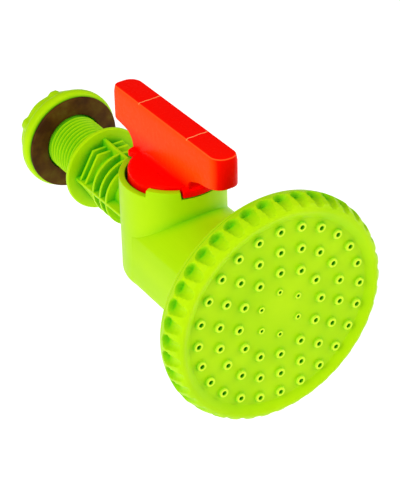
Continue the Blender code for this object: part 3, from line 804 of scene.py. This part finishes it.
def neck():
    """The tube between flange and barrel, with its fins, two six-sided collars and three round ribs."""
    start, end = -0.5, FIN_END_Y - 2
    tube = turned("tube", [
        (NECK_CORE_R, start, 0), (NECK_CORE_R, end, 0), (PIPE_BORE_R, end, 0), (PIPE_BORE_R, start, 0),
    ], 72, True)
    w, w_end = FIN_HALF_WIDTH, FIN_HALF_WIDTH_END
    outline = [(-w, -0.8), (w, -0.8), (w_end, FIN_END_Y), (-w_end, FIN_END_Y)]
    level = prism("level", outline, -FIN_T / 2, FIN_T / 2, along_z, bevel=0.3)
    upright = prism("upright", outline, -FIN_T / 2, FIN_T / 2, along_x, bevel=0.3)
    ribs = []
    for y in HEX_RIB_Y:
        hexagon = arc((0.0, 0.0), HEX_RIB_R, 0, 300, 5)
        ribs.append(prism("rib", hexagon, y - RIB_T / 2, y + RIB_T / 2, along_y, bevel=0.3))
    for y in ROUND_RIB_Y:
        low, high = y - RIB_T / 2, y + RIB_T / 2
        inner, outer = NECK_CORE_R - 1, ROUND_RIB_R
        corners = [(inner, high, 0), (outer, high, 0.35), (outer, low, 0.35), (inner, low, 0)]
        ribs.append(turned("rib", corners, 96, True))
    return [tube, level, upright, *ribs]


def stop_share(angle):
    """1 on the two raised stops of the barrel's rim, 0 between them, with slightly leaning ends."""
    share = 0.0
    for start in (STOP_START_DEG, STOP_START_DEG - 180.0):
        past = (angle - start) % 360.0
        share = max(share, min(1.0, past / STOP_LEAN_DEG, (STOP_SWEEP_DEG - past) / STOP_LEAN_DEG))
    return share


def barrel():
    """The valve's barrel, with a bore from above, a screw hole below and two stops on its rim."""
    corners = [
        (BARREL_BORE_R, RIM_LOW_Z, 0.3), (BARREL_R, RIM_LOW_Z, 0.35), (BARREL_R, BARREL_BOTTOM_Z, 3.2),
        (COUNTERBORE_R, BARREL_BOTTOM_Z, 0.3), (COUNTERBORE_R, COUNTERBORE_TOP_Z, 0.0),
        (STEM_HOLE_R, COUNTERBORE_TOP_Z, 0.0), (STEM_HOLE_R, BARREL_FLOOR_Z, 0.0),
        (BARREL_BORE_R, BARREL_FLOOR_Z, 0.0),
    ]
    angles = {2.5 * i for i in range(144)}
    for start in (STOP_START_DEG, STOP_START_DEG - 180.0):
        end = start + STOP_SWEEP_DEG
        angles |= {start, start + STOP_LEAN_DEG, end - STOP_LEAN_DEG, end}
    rings = []
    for radius, z in rounded(corners, closed=True):
        ring = []
        for angle in sorted(angles):
            rise = (RIM_HIGH_Z - RIM_LOW_Z) * stop_share(angle) if z > RIM_LOW_Z - 1.0 else 0.0
            a = math.radians(angle)
            ring.append((radius * math.cos(a), VALVE_Y + radius * math.sin(a), z + rise))
        rings.append(ring)
    return add_bevel(solid("barrel", rings, loop=True), 0.25, limit_deg=60)


def duct_outline(inset, floor_z):
    """The outlet's section: round roof, straight sides and a floor with rounded corners."""
    half = DUCT_HALF_W - inset
    roof_r = DUCT_ROOF_R - inset
    bottom = floor_z + inset
    corner = max(1.0, DUCT_CORNER_R - inset)
    reach = math.degrees(math.asin(half / roof_r))
    roof = arc((0.0, DUCT_ROOF_CENTRE_Z), roof_r, 90 - reach, 90 + reach, 40)
    left = arc((-half + corner, bottom + corner), corner, 180, 270, 8)
    right = arc((half - corner, bottom + corner), corner, 270, 360, 8)
    return roof + left + right


def duct():
    """The box outlet with its hollow, open to the barrel's bore."""
    def block(name, inset, front, back):
        rings = []
        for y in (front, back):
            share = (y - DUCT_FRONT_Y) / (VALVE_Y - DUCT_FRONT_Y)
            floor_z = DUCT_FLOOR_Z[0] + (DUCT_FLOOR_Z[1] - DUCT_FLOOR_Z[0]) * share
            rings.append([(x, y, z) for x, z in duct_outline(inset, floor_z)])
        return solid(name, rings)

    outside = block("duct", 0.0, DUCT_FRONT_Y, VALVE_Y)
    bore_r = BARREL_R - 0.6
    bore = solid("bore", turned_rings([(bore_r, -30.0), (bore_r, 40.0)], 144, centre=(0.0, VALVE_Y, 0.0)))
    return cut(outside, bore, block("hollow", DUCT_WALL, DUCT_FRONT_Y - 2, VALVE_Y + 4))


def tap_body(finish):
    shells = [flange(), inlet_thread(), *neck(), barrel(), duct(), rose_back()]
    body = gather("body", shells)
    finish_piece(body, "tap_body_moulding", "tap", "tap_body", finish)


# ------------------------------------------------------------------ inlet fittings

def gasket(finish):
    low, high = GASKET_LOW[1], GASKET_HIGH[1]
    inner, outer = GASKET_BORE_R, GASKET_HIGH[0]
    corners = [(inner, high, 0.15), (outer, high, 0.35), (outer, low, 0.35), (inner, low, 0.15)]
    ring = turned("ring", corners, 120, True)
    finish_piece(ring, "tank_gasket_ring", "gasket", "tank_gasket", finish)


def nut_grip_radius(angle, share):
    """The grip's outline: narrow ribs with scooped sides between them, drawn in by share at the end."""
    lobe = (angle - math.radians(NUT_TURN_DEG)) * NUT_RIBS / (2 * math.pi)
    across = abs(lobe - round(lobe)) * 2
    rib = 1 - smooth_step(0.10, 0.34, across)
    scoop = smooth_step(0.30, 1.0, across)
    return NUT_GRIP_R + NUT_RIB_H * rib + 0.35 * scoop - 0.9 * share


def backnut(finish):
    low, high = NUT_LOW[1], NUT_HIGH[1]
    outer = NUT_HIGH[0]
    collar_y = low + NUT_COLLAR_T
    corners = [
        (NUT_MOUTH_R, low, 0), (outer, low, 2.0), (outer, collar_y, 2.6), (NUT_GRIP_FOOT_R, collar_y, 0),
    ]
    rings = turned_rings(rounded(corners, step_deg=10)[:-1], NUT_STEPS, True)
    end_edge = ((high - 1.4, 0.0), (high - 0.6, 0.25), (high - 0.15, 0.7), (high, 1.2))
    for y, share in ((collar_y, 0.0), *end_edge):
        ring = []
        for i in range(NUT_STEPS):
            angle = 2 * math.pi * i / NUT_STEPS
            radius = nut_grip_radius(math.pi / 2 - angle, share)
            ring.append((radius * math.sin(angle), y, radius * math.cos(angle)))
        rings.append(ring)

    def radius_at(offset, y):
        crest = 0.5 - 0.5 * math.cos(2 * math.pi * offset / THREAD_PITCH)
        run_out = smooth_step(low + 0.2, low + 1.6, y) * (1 - smooth_step(high - 1.6, high - 0.4, y))
        return NUT_ROOT_R - NUT_THREAD_DEPTH * crest ** 0.8 * run_out

    bore = thread_rings(low, high, radius_at, NUT_STEPS)
    nut = solid("nut", rings + list(reversed(bore)), loop=True)
    finish_piece(nut, "backnut_moulding", "nut", "backnut", finish)


# ------------------------------------------------------------------ plug and handle

def plug_core():
    """The disc, the plug that it stands on and the stem below, as one turned shape."""
    top, bottom, stem_end = DISC_TOP_Z, BARREL_FLOOR_Z + 0.3, PLUG_LOW[2]
    corners = [
        (0.0, top, 0.0), (DISC_R, top, 1.5), (DISC_R, 19.5, 0.0), (PLUG_R, 18.5, 0.0),
        (PLUG_R, bottom, 0.4), (STEM_R, bottom, 0.0), (STEM_R, stem_end, 0.2), (0.0, stem_end, 0.0),
    ]
    return turned("plug", corners, 144, centre=(0.0, VALVE_Y, 0.0))


def lug(start_deg):
    """A stop lug that reaches out over the rim's low stretch."""
    low, high = RIM_LOW_Z + 0.3, DISC_TOP_Z - 0.15
    end_deg = start_deg + LUG_SWEEP_DEG
    outline = arc((0.0, VALVE_Y), BARREL_R - 0.05, start_deg, end_deg, 18)
    outline += arc((0.0, VALVE_Y), DISC_R - 3, end_deg, start_deg, 18)
    return prism("lug", outline, low, high, along_z, bevel=0.5)


def bar_outline(z, front, back, half_w, front_radii, back_radii):
    """One level outline of the bar, with rounded corners and sides that flare out over the disc."""
    steps, side_steps = 8, 24
    left_back, right_back = back_radii
    left_front, right_front = front_radii
    corners = (
        (half_w - right_back, back - right_back, right_back, 0),
        (left_back - half_w, back - left_back, left_back, 90),
        (left_front - half_w, front + left_front, left_front, 180),
        (half_w - right_front, front + right_front, right_front, 270),
    )
    points = []
    for i, (x, y, radius, turn) in enumerate(corners):
        points += arc((x, y), radius, turn, turn + 90, steps)
        if i % 2 == 0:
            continue
        side = -1 if i == 1 else 1
        first = points[-1][1]
        last = front + left_front if i == 1 else back - right_back
        for k in range(1, side_steps):
            y_side = first + (last - first) * k / side_steps
            points.append((side * (half_w + handle_flare(y_side, z)), y_side))
    lean = math.tan(math.radians(HANDLE_LEAN_DEG))
    return [(x - y * lean, VALVE_Y + y, z) for x, y in points]


def handle_flare(y, z):
    """Extra half-width where the bar's sides run out in a hollow curve onto the disc."""
    radius = FLARE_R * (1 - smooth_step(5.0, 14.5, abs(y)))
    rise = max(0.0, z - (DISC_TOP_Z - 0.05))
    if rise >= radius:
        return 0.0
    return radius - math.sqrt(radius * radius - (radius - rise) ** 2)


def end_at(z, curve):
    """How far the bar reaches at a height, along a curve of (z, y) points."""
    for (z0, y0), (z1, y1) in zip(curve, curve[1:]):
        if z <= z1:
            return y0 + (y1 - y0) * max(0.0, z - z0) / (z1 - z0)
    return curve[-1][1]


def underside(neck_y, tip_y, fillet, heights):
    """(z, y) up one end of the neck, round its fillet and along the bar's underside to the tip."""
    side = 1 if tip_y > neck_y else -1
    curve = [(DISC_TOP_Z - 2.0, neck_y)]
    for k in range(9):
        a = math.radians(80 * k / 8)
        curve.append((DISC_TOP_Z + fillet * math.sin(a), neck_y + side * fillet * (1 - math.cos(a))))
    corner_z, end_z = heights
    bend_y = neck_y + side * (fillet + 2.2)
    curve += [(corner_z, bend_y), (end_z - 0.25, tip_y - side * 2.5), (end_z, tip_y - side * 0.7)]
    curve += [(end_z + 0.25, tip_y - side * 0.25), (end_z + 0.7, tip_y)]
    return curve


def corner_radii(end, tip, full):
    """The corner radii of an outline that stops short of the tip: the tip's own, cut down."""
    return [max(0.9, radius - abs(tip - end)) for radius in full]


def handle_bar():
    """The bar and its neck in level outlines, from below the disc's top to the rounded top edge."""
    front_tip, back_tip = HANDLE_FRONT_Y + 0.3, HANDLE_BACK_Y - 0.1
    front_curve = underside(FRONT_NECK_Y, front_tip, FRONT_FILLET, FRONT_UNDERSIDE_Z)
    back_curve = underside(BACK_NECK_Y, back_tip, BACK_FILLET, BACK_UNDERSIDE_Z)
    flare = {DISC_TOP_Z + FLARE_R * (1 - math.cos(math.radians(7.5 * k))) for k in range(13)}
    levels = sorted({round(z, 3) for z, _ in front_curve + back_curve} | flare)
    rings = []

    def add(z, front, back, half_w):
        rings.append(bar_outline(
            z, front, back, half_w, corner_radii(front, front_tip, FRONT_CORNERS),
            corner_radii(back, back_tip, BACK_CORNERS),
        ))

    for z in levels:
        add(z, end_at(z, front_curve), end_at(z, back_curve), HANDLE_HALF_W)
    add(HANDLE_TOP_Z - TOP_BAND, front_tip, back_tip, HANDLE_HALF_W)
    for k in range(6):
        a = math.radians(15 + 75 * k / 5)
        inset = TOP_SLOPE + TOP_EDGE * (1 - math.cos(a))
        z = HANDLE_TOP_Z - TOP_EDGE + TOP_EDGE * math.sin(a)
        add(z, front_tip + inset, back_tip - inset, HANDLE_HALF_W - inset)
    return solid("bar", rings)


def plug_handle(finish):
    through = [(PIPE_BORE_R, VALVE_Y - 30), (PIPE_BORE_R, VALVE_Y + 30)]
    core = cut(plug_core(), solid("port", turned_rings(through, 48, True)))
    handle = gather("handle", [core, lug(LUG_START_DEG), lug(LUG_START_DEG - 180.0), handle_bar()])
    finish_piece(handle, "plug_handle_moulding", "valve", "plug_handle", finish)


# ------------------------------------------------------------------ stage

def repaint(node, finish):
    thing = frame["nodes"][node]
    thing.data.materials.clear()
    thing.data.materials.append(finish)


def floor(finish):
    """A wide level slab well below the tap."""
    top = CAD_BOUNDS[0][2] / MM - FLOOR_DROP
    bottom = top - FLOOR_T
    outline = [(-FLOOR_REACH, top), (FLOOR_REACH, top), (FLOOR_REACH, bottom), (-FLOOR_REACH, bottom)]
    made = prism("floor", outline, -FLOOR_REACH, FLOOR_REACH, along_y)
    made.data.materials.append(finish)


def area_light(name, place, size, power):
    lamp = bpy.data.lights.new(name, "AREA")
    lamp.shape = "RECTANGLE"
    lamp.size, lamp.size_y = size
    lamp.energy = power
    made = linked(name, lamp)
    made.location = place
    made.rotation_euler = (Vector(LIGHT_TARGET) - Vector(place)).to_track_quat("-Z", "Y").to_euler()


def lighting():
    world = bpy.data.worlds.new("studio")
    bpy.context.scene.world = world
    world.use_nodes = True
    background = world.node_tree.nodes["Background"]
    background.inputs["Color"].default_value = WHITE
    background.inputs["Strength"].default_value = WORLD_STRENGTH
    for light in LIGHTS:
        area_light(*light)
    bpy.context.scene.view_settings.view_transform = "Standard"


def camera():
    azimuth, elevation, roll = (math.radians(a) for a in (VIEW_AZIMUTH, VIEW_ELEVATION, VIEW_ROLL))
    right = Vector((math.cos(azimuth), math.sin(azimuth), 0.0))
    level = math.cos(elevation)
    back = Vector((math.sin(azimuth) * level, -math.cos(azimuth) * level, math.sin(elevation)))
    up = back.cross(right)
    tilted_right = right * math.cos(roll) + up * math.sin(roll)
    tilted_up = up * math.cos(roll) - right * math.sin(roll)
    rose_middle = Vector((0.0, PLATE_Y - 1.2, 0.0))
    place = rose_middle + tilted_right * VIEW_AIM[0] + tilted_up * VIEW_AIM[1] + back * VIEW_DISTANCE
    lens = bpy.data.cameras.new("camera")
    lens.lens = LENS
    lens.clip_end = 20.0
    made = linked("camera", lens)
    turn = Matrix((tilted_right, tilted_up, back)).transposed().to_4x4()
    made.matrix_world = Matrix.Translation(place * MM) @ turn
    bpy.context.scene.camera = made


def build():
    lime, black, steel = lime_plastic(), black_rubber(), plain_steel()
    camera()
    lighting()
    floor(floor_white())
    rose_cap(lime)
    tap_body(lime)
    gasket(brown_rubber())
    backnut(lime)
    plug_handle(red_plastic())
    for node in ("rose_seal", "upper_o_ring", "lower_o_ring", "inlet_seat_seal"):
        repaint(node, black)
    for node in ("plug_washer", "plug_screw"):
        repaint(node, steel)


build()
